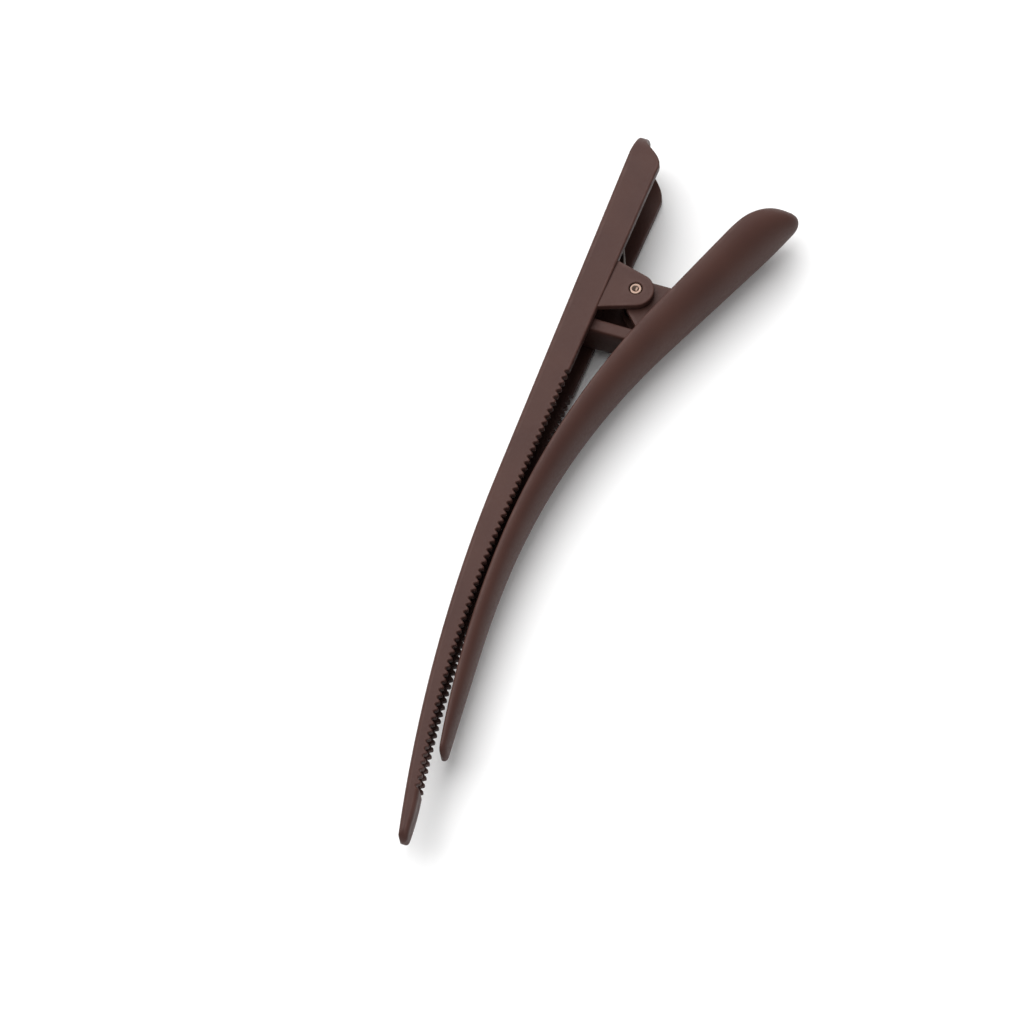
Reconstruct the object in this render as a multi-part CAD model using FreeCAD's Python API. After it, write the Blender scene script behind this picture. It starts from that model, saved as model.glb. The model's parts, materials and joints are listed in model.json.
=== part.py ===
"""Sectioning clip for a hair salon: two moulded arms, a hinge pin and a torsion spring.

All sizes are in millimetres. The clip lies on its side. X runs along the long arm's handle towards the
jaw tips, Y runs from the long arm towards the short arm, and Z runs along the hinge pin. Everything is
drawn about the pin's axis at mid width, then moved so that the origin is under the middle of the clip.
"""
import FreeCAD, Part
import math
import os

V = FreeCAD.Vector

# ---- Plan shape, shared by both arms ------------------------------------------------------------
WIDTH_AT_PIN = 10.5          # outside width of either arm level with the pin
WIDTH_TAPER = 0.068          # width lost per millimetre towards the tip

# ---- Long arm ------------------------------------------------------------------------------------
LONG_HANDLE = 27.8           # pin to the end of the handle
LONG_HANDLE_ROUND = 8.5      # length of the half ellipse that ends it in plan
LONG_JAW = 94.6              # pin to the tip
LONG_BACK = 9.15             # pin to the flat back, measured square to it
LONG_BACK_ANGLE = -0.67      # heading of the back along the handle, degrees
LONG_BACK_STRAIGHT = 36.0    # pin to the start of the curve in the back
LONG_BACK_RADIUS = 245.0
LONG_BACK_TURN = 13.4        # how far the back turns, degrees
LONG_RIM = 4.31              # pin to the rim of the walls
LONG_RIM_ANGLE = -2.05
LONG_RIM_STRAIGHT = 41.9
LONG_RIM_RADIUS = 215.0
LONG_RIM_TURN = 12.2
LONG_TIP_RADIUS = 40.0       # past the teeth the rim bends back towards the tip
LONG_TIP_TURN = 6.0
LONG_WALL = 1.4              # side wall, at the pin
LONG_FLOOR = 1.3
CHANNEL_TAPER = 0.0612       # width the channel loses per millimetre
LONG_TIP_SOLID = 8.0         # solid tip beyond the channel
CHANNEL_END = LONG_JAW - LONG_TIP_SOLID
LONG_EDGE_ROUND = 0.7        # round along the two outside edges of the back
LONG_TIP_ROUND = 0.55        # round over the tip, seen from the side
LONG_TIP_PLAN = 2.0          # length of the rounded tip in plan
SCOOP_START = 5.6            # handle end to where the walls start to drop
SCOOP_ANGLE = 47.0
SCOOP_ROUND = 2.5
HEEL_ROUND = 1.0             # round under the handle end

# ---- Teeth along both rims of the long arm -------------------------------------------------------
TOOTH_START = 16.7           # pin to the first notch
TOOTH_PITCH = 1.162
TOOTH_COUNT = 1 + int((CHANNEL_END - TOOTH_START) / TOOTH_PITCH)
TOOTH_DEPTH = 0.5
NOTCH_MOUTH = 0.92           # notch width at the rim
NOTCH_BOTTOM = 0.26          # notch width at its bottom

# ---- Short arm -----------------------------------------------------------------------------------
SHORT_HANDLE = 22.1          # pin to the end of the handle
SHORT_HANDLE_ROUND = 9.0     # length of the half ellipse that ends it in plan
SHORT_JAW = 80.4
SHORT_RIM = 4.54             # pin to the rim, along Y
SHORT_RIM_ANGLE = -22.3
SHORT_RIM_STRAIGHT = 2.0     # pin to the start of the curve
SHORT_RIM_RADIUS = 121.0     # first curve, down to level with the handle of the long arm
SHORT_TIP_RADIUS = 170.0     # second curve, towards the tip
SHORT_CROWN = 9.69           # pin to the top of the crown, along Y
SHORT_CROWN_ANGLE = -24.7
SHORT_CROWN_STRAIGHT = 6.0
SHORT_CROWN_RADIUS = 107.0
SHORT_CROWN_TIP_RADIUS = 150.0
SHORT_CROWN_TIP_ANGLE = 4.3  # heading of the crown over the last stretch
SHORT_SHELL = 1.2            # shell thickness
SHORT_TIP_SOLID = 4.9        # solid tip beyond the hollow
SHORT_HOLLOW_END = SHORT_JAW - SHORT_TIP_SOLID
CROWN_POWER = 2.2            # 2 is an ellipse, more is squarer
SHORT_NOSE_ROUND = 2.3       # round from the crown into the handle end, seen from the side
SHORT_LIP_LENGTH = 6.5       # elliptical round from the rim into the handle end, seen from the side
SHORT_LIP_RISE = 3.6
SHORT_TIP_PLAN = 2.4         # length of the rounded tip in plan

# ---- Hinge ---------------------------------------------------------------------------------------
PIN_DIAMETER = 2.0
PIN_PRESS_CLEARANCE = 0.02   # radial, in the long arm's ears
PIN_TURN_CLEARANCE = 0.06    # radial, in the short arm's ears
PIN_RECESS = 0.1             # pin end below the outer face of the ear
PIN_CHAMFER = 0.15
PIN_DIMPLE = 0.35            # depth of the centre dimple in each end
EAR_THICKNESS = 1.15
EAR_RECESS = 0.35            # ear's outer face inside the wall's outer face
LONG_EAR_RADIUS = 2.85
LONG_EAR_FOOT = (-4.1, 5.2)  # where the ear's two sides meet the wall, along X
EAR_GAP = 0.35               # side gap between the long arm's ears and the short arm's
SHORT_EAR_RADIUS = 2.5
SHORT_EAR_FRONT = 5.9        # where the ear meets the shell on the jaw side

# ---- Hair stop, a cross wall of the short arm ----------------------------------------------------
STOP_START = 5.8
STOP_THICKNESS = 2.2
STOP_SIDE_GAP = 0.45         # to the walls of the channel
STOP_FLOOR_GAP = 1.1         # to the floor of the channel
STOP_CORNER = 0.5

# ---- Torsion spring ------------------------------------------------------------------------------
SPRING_WIRE = 0.7
SPRING_BORE_GAP = 0.35       # coil's inside to the pin
SPRING_PITCH = 0.78
SPRING_TURNS = 4
SPRING_LONG_LEG = 13.0       # reach of each leg from the pin, along -X
SPRING_SHORT_LEG = 9.0
SPRING_SEAT_GAP = 0.06       # leg's end to the face that it pushes on
SPRING_SECTIONS = 16         # wire sections in each turn of the coil
SPRING_LEG_SECTIONS = 8      # wire sections in each leg
WIRE_RING_POINTS = 12        # points round each wire section

# ---- Mould gate nub on each handle end ---------------------------------------------------------
NUB_DIAMETER = 0.9
NUB_LENGTH = 0.35


class Path:
    """Straight lines and tangent arcs in the side view, walked by distance from the start."""

    def __init__(self, x, y, heading, pieces):
        """Each piece is (length, radius). Radius 0 is straight, and a positive one bends towards +Y."""
        self.knots = []
        angle = math.radians(heading)
        reach = 0.0
        for length, radius in pieces:
            self.knots.append((reach, x, y, angle, radius, length))
            x, y, angle = self._step(x, y, angle, radius, length)
            reach += length
        self.length = reach

    @staticmethod
    def _step(x, y, angle, radius, run):
        if not radius:
            return x + run * math.cos(angle), y + run * math.sin(angle), angle
        turned = angle + run / radius
        return (x + radius * (math.sin(turned) - math.sin(angle)),
                y - radius * (math.cos(turned) - math.cos(angle)), turned)

    def at(self, reach):
        """X, Y and heading in radians at a distance along the path."""
        knot = [k for k in self.knots if k[0] <= reach + 1e-9][-1]
        return self._step(knot[1], knot[2], knot[3], knot[4], reach - knot[0])

    def reach_at(self, x):
        """Distance along the path at which it passes over x."""
        low, high = 0.0, self.length
        for _ in range(60):
            middle = 0.5 * (low + high)
            if self.at(middle)[0] < x:
                low = middle
            else:
                high = middle
        return 0.5 * (low + high)

    def y(self, x):
        return self.at(self.reach_at(x))[1]

    def edges(self, x_from, x_to):
        """The path between two x values, as lines and three-point arcs."""
        first, last = self.reach_at(x_from), self.reach_at(x_to)
        stops = [first] + [k[0] for k in self.knots if first + 1e-6 < k[0] < last - 1e-6] + [last]
        result = []
        for start, end in zip(stops, stops[1:]):
            a, middle, b = [V(*self.at(s)[:2], 0) for s in (start, 0.5 * (start + end), end)]
            radius = [k for k in self.knots if k[0] <= start + 1e-6][-1][4]
            result.append(Part.Arc(a, middle, b).toShape() if radius else Part.makeLine(a, b))
        return result


def turn_path(lead, offset, heading, bends):
    """A path that starts `lead` before the pin, passes it at `offset` along Y, and bends as told.

    Each bend is (straight before it, radius, degrees turned). A long straight ends the path.
    """
    slope = math.tan(math.radians(heading))
    pieces = []
    for straight, radius, turn in bends:
        if straight:
            pieces.append((straight, 0))
        pieces.append((radius * math.radians(turn), radius))
    pieces.append((60.0, 0))
    return Path(-lead, offset - lead * slope, heading, pieces)


LEAD = 45.0                  # how far before the pin every path starts, clear of the handles


def straight_to(x, heading):
    """Length of the first straight of a path when its curve starts at x."""
    return (LEAD + x) / math.cos(math.radians(heading))


long_back = turn_path(LEAD, -LONG_BACK, LONG_BACK_ANGLE,
                      [(straight_to(LONG_BACK_STRAIGHT, LONG_BACK_ANGLE), LONG_BACK_RADIUS, LONG_BACK_TURN)])
long_rim = turn_path(LEAD, -LONG_RIM, LONG_RIM_ANGLE,
                     [(straight_to(LONG_RIM_STRAIGHT, LONG_RIM_ANGLE), LONG_RIM_RADIUS, LONG_RIM_TURN),
                      (0, -LONG_TIP_RADIUS, -LONG_TIP_TURN)])
short_rim = turn_path(LEAD, SHORT_RIM, SHORT_RIM_ANGLE,
                      [(straight_to(SHORT_RIM_STRAIGHT, SHORT_RIM_ANGLE), SHORT_RIM_RADIUS, -SHORT_RIM_ANGLE),
                       (0, SHORT_TIP_RADIUS, 11.5)])
short_crown = turn_path(LEAD, SHORT_CROWN, SHORT_CROWN_ANGLE,
                        [(straight_to(SHORT_CROWN_STRAIGHT, SHORT_CROWN_ANGLE),
                          SHORT_CROWN_RADIUS, -SHORT_CROWN_ANGLE),
                         (0, SHORT_CROWN_TIP_RADIUS, SHORT_CROWN_TIP_ANGLE)])

LONG_EAR_OUT = 0.5 * WIDTH_AT_PIN - EAR_RECESS
LONG_EAR_IN = LONG_EAR_OUT - EAR_THICKNESS
SHORT_EAR_OUT = LONG_EAR_IN - EAR_GAP
SHORT_EAR_IN = SHORT_EAR_OUT - EAR_THICKNESS
PIN_RADIUS = 0.5 * PIN_DIAMETER


def half_width(x):
    """Half the outside width of either arm at x, ends left out."""
    return 0.5 * (WIDTH_AT_PIN - WIDTH_TAPER * x)


def channel_half_width(x):
    """Half the inside width of the long arm's channel at x."""
    return 0.5 * (WIDTH_AT_PIN - CHANNEL_TAPER * x) - LONG_WALL


def prism(edges, z_low, z_high):
    """A side-view outline made solid between two Z levels."""
    face = Part.Face(Part.Wire(edges))
    face.translate(V(0, 0, z_low))
    return face.extrude(V(0, 0, z_high - z_low))


def polygon(points):
    """Straight edges round a closed list of (x, y) points."""
    corners = [V(x, y, 0) for x, y in points]
    return [Part.makeLine(a, b) for a, b in zip(corners, corners[1:] + corners[:1])]


def plan_solid(x_start, x_end, start_round, end_round, half):
    """A tall solid with the plan of an arm: tapered sides, an elliptical handle end and tip."""
    def end_arc(x_flat, depth, side):
        """Half an ellipse, drawn as a B-spline through points of its formula."""
        reach = half(x_flat)
        steps = 12
        angles = [math.pi * i / steps - 0.5 * math.pi for i in range(steps + 1)]
        points = [V(x_flat + side * depth * math.cos(a), 0, reach * math.sin(a)) for a in angles]
        curve = Part.BSplineCurve()
        curve.interpolate(points, InitialTangent=V(side, 0, 0), FinalTangent=V(-side, 0, 0))
        return curve.toShape()

    low, high = x_start + start_round, x_end - end_round
    edges = [end_arc(low, start_round, -1), end_arc(high, end_round, 1)]
    for z_side in (-1, 1):
        edges.append(Part.makeLine(V(low, 0, z_side * half(low)), V(high, 0, z_side * half(high))))
    face = Part.Face(Part.Wire(Part.__sortEdges__(edges)))
    face.translate(V(0, -40, 0))
    return face.extrude(V(0, 80, 0))


def z_edges_near(shape, x, y, tolerance=0.05):
    """Edges that run along Z and pass over (x, y)."""
    found = []
    for edge in shape.Edges:
        ends = [v.Point for v in edge.Vertexes]
        if all(math.hypot(p.x - x, p.y - y) < tolerance for p in ends) and edge.Length > 1:
            found.append(edge)
    return found


def tangent_point(centre, radius, point, side):
    """Where the tangent from a point touches a circle. Side is +1 or -1, for one tangent or the other."""
    dx, dy = point[0] - centre[0], point[1] - centre[1]
    spread = math.acos(radius / math.hypot(dx, dy))
    angle = math.atan2(dy, dx) + side * spread
    return centre[0] + radius * math.cos(angle), centre[1] + radius * math.sin(angle)


def bore(radius):
    """A cutter for the hinge hole."""
    return Part.makeCylinder(radius, 4 * WIDTH_AT_PIN, V(0, 0, -2 * WIDTH_AT_PIN))


def gate_nub(x, y):
    """The small stub that the mould's gate leaves on a handle end."""
    length = NUB_LENGTH + 0.6
    return Part.makeCylinder(0.5 * NUB_DIAMETER, length, V(x - NUB_LENGTH, y, 0), V(1, 0, 0))


def long_side_profile():
    """The long arm's outline from the side, sharp at its corners, made solid across the full width."""
    end_x = -LONG_HANDLE
    heel = end_x, long_back.y(end_x)
    toe_top = end_x, heel[1] + LONG_FLOOR
    drop_x = end_x + SCOOP_START
    drop = drop_x, long_rim.y(drop_x)
    fall = drop[1] - toe_top[1]
    foot = drop_x - fall / math.tan(math.radians(SCOOP_ANGLE)), toe_top[1]
    tip_low = LONG_JAW, long_back.y(LONG_JAW)
    tip_high = LONG_JAW, long_rim.y(LONG_JAW)
    edges = long_back.edges(end_x, LONG_JAW) + long_rim.edges(drop_x, LONG_JAW)
    for a, b in ((heel, toe_top), (toe_top, foot), (foot, drop), (tip_low, tip_high)):
        edges.append(Part.makeLine(V(*a, 0), V(*b, 0)))
    solid = prism(Part.__sortEdges__(edges), -WIDTH_AT_PIN, WIDTH_AT_PIN)
    for (x, y), radius in ((drop, SCOOP_ROUND), (foot, SCOOP_ROUND), (heel, HEEL_ROUND),
                           (tip_low, LONG_TIP_ROUND), (tip_high, LONG_TIP_ROUND)):
        solid = solid.makeFillet(radius, z_edges_near(solid, x, y))
    return solid


def long_channel():
    """The space inside the long arm, open towards the short arm."""
    start, end = -LONG_HANDLE - 5, CHANNEL_END
    roof = 30.0
    floor = []
    for edge in long_back.edges(start, end):
        edge.translate(V(0, LONG_FLOOR, 0))
        floor.append(edge)
    low_start, low_end = (V(x, long_back.y(x) + LONG_FLOOR, 0) for x in (start, end))
    high_start, high_end = V(start, roof, 0), V(end, roof, 0)
    sides = [Part.makeLine(low_start, high_start), Part.makeLine(high_start, high_end),
             Part.makeLine(high_end, low_end)]
    side = prism(Part.__sortEdges__(floor + sides), -WIDTH_AT_PIN, WIDTH_AT_PIN)
    plan = plan_solid(-LONG_HANDLE + LONG_WALL, CHANNEL_END, LONG_HANDLE_ROUND - LONG_WALL, 1.0,
                      channel_half_width)
    return side.common(plan)


def teeth_cutter():
    """Every notch of the tooth rows, each square to the rim and right across the arm."""
    first = long_rim.reach_at(TOOTH_START)
    over = 0.3
    flare = 0.5 * (NOTCH_MOUTH - NOTCH_BOTTOM) / TOOTH_DEPTH
    mouth = 0.5 * NOTCH_MOUTH + over * flare
    notches = []
    for index in range(TOOTH_COUNT):
        x, y, heading = long_rim.at(first + index * TOOTH_PITCH)
        along, up = V(math.cos(heading), math.sin(heading), 0), V(-math.sin(heading), math.cos(heading), 0)
        corners = [(-mouth, over), (mouth, over), (0.5 * NOTCH_BOTTOM, -TOOTH_DEPTH),
                   (-0.5 * NOTCH_BOTTOM, -TOOTH_DEPTH)]
        points = [V(x, y, 0) + along * a + up * b for a, b in corners]
        notches.append(prism(polygon([(p.x, p.y) for p in points]), -WIDTH_AT_PIN, WIDTH_AT_PIN))
    return Part.makeCompound(notches)


def long_ear():
    """One hinge ear of the long arm, from Z = 0 up: a round top with its two sides down to the wall."""
    centre = (0.5 * sum(LONG_EAR_FOOT) * 0.25, 0.0)
    feet = [(x, long_rim.y(x) - 1.2) for x in LONG_EAR_FOOT]
    left = tangent_point(centre, LONG_EAR_RADIUS, feet[0], -1)
    right = tangent_point(centre, LONG_EAR_RADIUS, feet[1], 1)
    top = V(centre[0], centre[1] + LONG_EAR_RADIUS, 0)
    edges = [Part.makeLine(V(*feet[0], 0), V(*left, 0)), Part.Arc(V(*left, 0), top, V(*right, 0)).toShape(),
             Part.makeLine(V(*right, 0), V(*feet[1], 0)), Part.makeLine(V(*feet[1], 0), V(*feet[0], 0))]
    return prism(edges, 0, EAR_THICKNESS)


def make_long_arm():
    """Straight-backed arm: a tapered channel with toothed rims and two outer hinge ears."""
    plan = plan_solid(-LONG_HANDLE, LONG_JAW, LONG_HANDLE_ROUND, LONG_TIP_PLAN, half_width)
    arm = rounded_back().common(long_side_profile()).common(plan)
    arm = arm.cut(long_channel())
    arm = arm.cut(teeth_cutter())
    ear = long_ear()
    ears = []
    for z in (LONG_EAR_IN, -LONG_EAR_OUT):
        placed = ear.copy()
        placed.translate(V(0, 0, z))
        ears.append(placed)
    nub_y = long_back.y(-LONG_HANDLE) + 0.5 * LONG_FLOOR + 0.1
    arm = arm.fuse(ears + [gate_nub(-LONG_HANDLE, nub_y)])
    return arm.cut(bore(PIN_RADIUS + PIN_PRESS_CLEARANCE)).removeSplitter()


def rounded_back():
    """A block on the long arm's back line with tapered sides, its two long back edges rounded."""
    start, end, roof = -LEAD + 5, LONG_JAW + 15, 30.0
    low_start, low_end = (V(x, long_back.y(x), 0) for x in (start, end))
    high_start, high_end = V(start, roof, 0), V(end, roof, 0)
    sides = [Part.makeLine(low_start, high_start), Part.makeLine(high_start, high_end),
             Part.makeLine(high_end, low_end)]
    side = prism(Part.__sortEdges__(long_back.edges(start, end) + sides), -WIDTH_AT_PIN, WIDTH_AT_PIN)
    corners = [V(start, -40, -half_width(start)), V(end, -40, -half_width(end)),
               V(end, -40, half_width(end)), V(start, -40, half_width(start))]
    plan = Part.Face(Part.makePolygon(corners + corners[:1])).extrude(V(0, 80, 0))
    block = side.common(plan)
    return block.makeFillet(LONG_EDGE_ROUND, [e for e in block.Edges if is_back_edge(e)])


def is_back_edge(edge):
    """True for the long outside edges where the back meets the side walls."""
    first, last = edge.FirstParameter, edge.LastParameter
    points = [edge.valueAt(p) for p in (first, 0.5 * (first + last), last)]
    on_back = all(abs(p.y - long_back.y(p.x)) < 0.02 for p in points)
    on_side = all(abs(abs(p.z) - half_width(p.x)) < 0.02 for p in points)
    return abs(points[2].x - points[0].x) > 5 and on_back and on_side


def crown_wire(x, half, low, high):
    """A closed section of the short arm at x: a crowned arch over a straight base."""
    steps = 12
    points = []
    for index in range(steps + 1):
        angle = math.pi * index / steps
        side, rise = math.cos(angle), math.sin(angle)
        z = math.copysign(abs(side) ** (2 / CROWN_POWER), side) * half
        points.append(V(x, low + (high - low) * max(rise, 0) ** (2 / CROWN_POWER), z))
    arch = Part.BSplineCurve()
    arch.interpolate(points)
    return Part.Wire([arch.toShape(), Part.makeLine(points[-1], points[0])])


def short_lip(x):
    """Height of the short arm's rim at x, with the elliptical rise of the rim at the handle end."""
    share = max(0.0, (SHORT_LIP_LENGTH - SHORT_HANDLE - x) / SHORT_LIP_LENGTH)
    return short_rim.y(x) + SHORT_LIP_RISE * (1 - math.sqrt(max(0.0, 1 - share ** 2)))


def crown_solid(inset, base_drop, x_tip, tip_plan):
    """The short arm's outside at inset 0, or the space inside it at an inset of the shell thickness."""
    start = -SHORT_HANDLE + inset
    end_round = SHORT_HANDLE_ROUND - inset
    nose = max(SHORT_NOSE_ROUND - inset, 0.8)
    near_start = [start + end_round * f for f in (0.004, 0.03, 0.09, 0.2, 0.38, 0.62, 1.0)]
    near_tip = [x_tip - tip_plan * f for f in (1.0, 0.45, 0.14, 0.02)]
    flat_start, flat_end = near_start[-1], near_tip[0]
    count = 11
    middle = [flat_start + (flat_end - flat_start) * i / count for i in range(1, count)]
    wires = []
    for x in near_start + middle + near_tip:
        half = half_width(x) - inset
        crown = short_crown.y(x) - inset
        if x < flat_start:
            half *= math.sqrt(1 - ((flat_start - x) / end_round) ** 2)
        if x > flat_end:
            half *= math.sqrt(1 - ((x - flat_end) / tip_plan) ** 2)
            crown -= 0.35 * (crown - short_rim.y(x)) * ((x - flat_end) / tip_plan) ** 2
        if x < start + nose:
            crown -= nose - math.sqrt(nose ** 2 - (start + nose - x) ** 2)
        wires.append(crown_wire(x, half, short_lip(x) - base_drop, crown))
    return Part.makeLoft(wires, True, False)


def short_ear_outline(top_y):
    """Side outline of a short-arm ear, its upper edge at top_y."""
    centre = (0.0, 0.0)
    front = SHORT_EAR_FRONT, short_rim.y(SHORT_EAR_FRONT)
    right = tangent_point(centre, SHORT_EAR_RADIUS, front, -1)
    left = -SHORT_EAR_RADIUS, 0.0
    bottom_angle = 0.5 * (math.pi + math.atan2(right[1], right[0]) + 2 * math.pi)
    bottom = V(SHORT_EAR_RADIUS * math.cos(bottom_angle), SHORT_EAR_RADIUS * math.sin(bottom_angle), 0)
    return [Part.makeLine(V(left[0], top_y, 0), V(*left, 0)), Part.Arc(V(*left, 0), bottom, V(*right, 0)).toShape(),
            Part.makeLine(V(*right, 0), V(*front, 0)), Part.makeLine(V(*front, 0), V(front[0], top_y, 0)),
            Part.makeLine(V(front[0], top_y, 0), V(left[0], top_y, 0))]


def stop_block(top_y):
    """The hair stop, from its lower edge in the long arm's channel up to top_y."""
    low = long_back.y(STOP_START) + LONG_FLOOR + STOP_FLOOR_GAP
    half = channel_half_width(STOP_START + STOP_THICKNESS) - STOP_SIDE_GAP
    block = Part.makeBox(STOP_THICKNESS, top_y - low, 2 * half, V(STOP_START, low, -half))
    edges = [e for e in block.Edges if abs(e.Vertexes[0].Point.z - e.Vertexes[-1].Point.z) < 0.01
             and all(abs(v.Point.y - low) < 0.01 for v in e.Vertexes)]
    edges += z_edges_near(block, STOP_START, low) + z_edges_near(block, STOP_START + STOP_THICKNESS, low)
    return block.makeFillet(STOP_CORNER, edges)


def make_short_arm():
    """Curved arm: a crowned hollow shell with two inner hinge ears and the hair stop."""
    tall = 20.0
    outside = crown_solid(0.0, 0.0, SHORT_JAW, SHORT_TIP_PLAN)
    inside = crown_solid(SHORT_SHELL, 1.0, SHORT_HOLLOW_END, 1.5)
    kept = [stop_block(tall)]
    low = [stop_block(short_rim.y(STOP_START + STOP_THICKNESS) + 1.5)]
    for z in (SHORT_EAR_IN, -SHORT_EAR_OUT):
        kept.append(prism(short_ear_outline(tall), z, z + EAR_THICKNESS))
        low.append(prism(short_ear_outline(short_rim.y(0) + 1.6), z, z + EAR_THICKNESS))
    hollow = inside.cut(kept[0]).cut(kept[1]).cut(kept[2])
    arm = outside.cut(hollow)
    nub_y = short_lip(-SHORT_HANDLE) + 0.2
    arm = arm.fuse(low + [gate_nub(-SHORT_HANDLE + 0.1, nub_y)])
    return arm.cut(bore(PIN_RADIUS + PIN_TURN_CLEARANCE)).removeSplitter()


def make_hinge_pin():
    """Steel pin, chamfered and dimpled at both ends."""
    half = LONG_EAR_OUT - PIN_RECESS
    pin = Part.makeCylinder(PIN_RADIUS, 2 * half, V(0, 0, -half))
    rims = [e for e in pin.Edges if isinstance(e.Curve, Part.Circle)]
    pin = pin.makeChamfer(PIN_CHAMFER, rims)
    for side in (-1, 1):
        cone = Part.makeCone(0.1, 0.55, PIN_DIMPLE, V(0, 0, side * (half - PIN_DIMPLE)), V(0, 0, side))
        pin = pin.cut(cone)
    return pin


def wire_along(route, radius):
    """Solid round wire: one smooth surface through circles across the route, closed by a flat disc at each end."""
    rings = []
    for index, point in enumerate(route):
        along = (route[min(index + 1, len(route) - 1)] - route[max(index - 1, 0)]).normalize()
        up = (V(0, 0, 1) - along * along.z).normalize()
        side = along.cross(up)
        turns = [2 * math.pi * step / WIRE_RING_POINTS for step in range(WIRE_RING_POINTS)]
        ring = [point + up * (radius * math.cos(turn)) + side * (radius * math.sin(turn)) for turn in turns]
        rings.append(ring + ring[:1])
    skin = Part.BSplineSurface()
    skin.interpolate(rings)
    ends = [Part.Face(Part.Wire([skin.uIso(place).toShape()])) for place in skin.bounds()[:2]]
    closed = Part.makeCompound([skin.toShape()] + ends)
    closed.sewShape(1e-4)
    return Part.Solid(closed.Shells[0])


def make_torsion_spring():
    """Coil round the pin, with one leg on the long arm's floor and one under the short arm's crown."""
    wire_radius = 0.5 * SPRING_WIRE
    coil = PIN_RADIUS + SPRING_BORE_GAP + wire_radius
    seat = wire_radius + SPRING_SEAT_GAP
    lift = seat / math.cos(math.radians(SHORT_CROWN_ANGLE))
    long_tip = -SPRING_LONG_LEG, long_back.y(-SPRING_LONG_LEG) + LONG_FLOOR + seat
    short_tip = -SPRING_SHORT_LEG, short_crown.y(-SPRING_SHORT_LEG) - SHORT_SHELL - lift - 0.45
    start = tangent_point((0, 0), coil, long_tip, 1)
    end = tangent_point((0, 0), coil, short_tip, -1)
    start_angle, end_angle = math.atan2(start[1], start[0]), math.atan2(end[1], end[0])
    sweep = 2 * math.pi * SPRING_TURNS + (end_angle - start_angle) % (2 * math.pi)
    rise = SPRING_PITCH * sweep / (2 * math.pi)
    low_tip, high_tip = V(*long_tip, -0.5 * rise), V(*short_tip, 0.5 * rise)
    samples = SPRING_SECTIONS * (SPRING_TURNS + 1)
    coil_points = []
    for index in range(samples + 1):
        share = index / samples
        angle = start_angle + sweep * share
        coil_points.append(V(coil * math.cos(angle), coil * math.sin(angle), rise * (share - 0.5)))
    first, last = coil_points[0], coil_points[-1]
    steps = [index / SPRING_LEG_SECTIONS for index in range(SPRING_LEG_SECTIONS)]
    low_leg = [low_tip + (first - low_tip) * step for step in steps]
    high_leg = [high_tip + (last - high_tip) * step for step in reversed(steps)]
    return wire_along(low_leg + coil_points + high_leg, wire_radius)


def main():
    nodes = {
        "long_arm": make_long_arm(),
        "short_arm": make_short_arm(),
        "hinge_pin": make_hinge_pin(),
        "torsion_spring": make_torsion_spring(),
    }
    box = FreeCAD.BoundBox()
    for shape in nodes.values():
        box.add(shape.optimalBoundingBox(False))
    shift = V(-box.Center.x, -box.Center.y, -box.ZMin)
    os.makedirs("parts", exist_ok=True)
    for name, shape in nodes.items():
        solids = shape.Solids
        if len(solids) != 1 or not shape.isValid():
            raise RuntimeError("%s: %d solids, valid %s" % (name, len(solids), shape.isValid()))
        solid = solids[0].copy()
        solid.translate(shift)
        solid.exportStep("parts/%s.step" % name)
        print("%-16s volume %8.1f mm3" % (name, solid.Volume))
    print("pin axis at X %.4f Y %.4f, mid width at Z %.4f" % (shift.x, shift.y, shift.z))
    print("size %.2f x %.2f x %.2f" % (box.XLength, box.YLength, box.ZLength))


main()
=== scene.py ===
"""Looks of a sprung sectioning clip: two moulded arms, a hinge pin and a torsion spring.

Every shape is worked out about the hinge pin's axis, in metres: X runs from the handles to the jaw tips,
Y from the long arm to the short arm, and Z along the pin. The frame then says where the pin stands.
"""

import json
import math

import bpy
import numpy as np
from mathutils import Matrix, Vector

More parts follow.
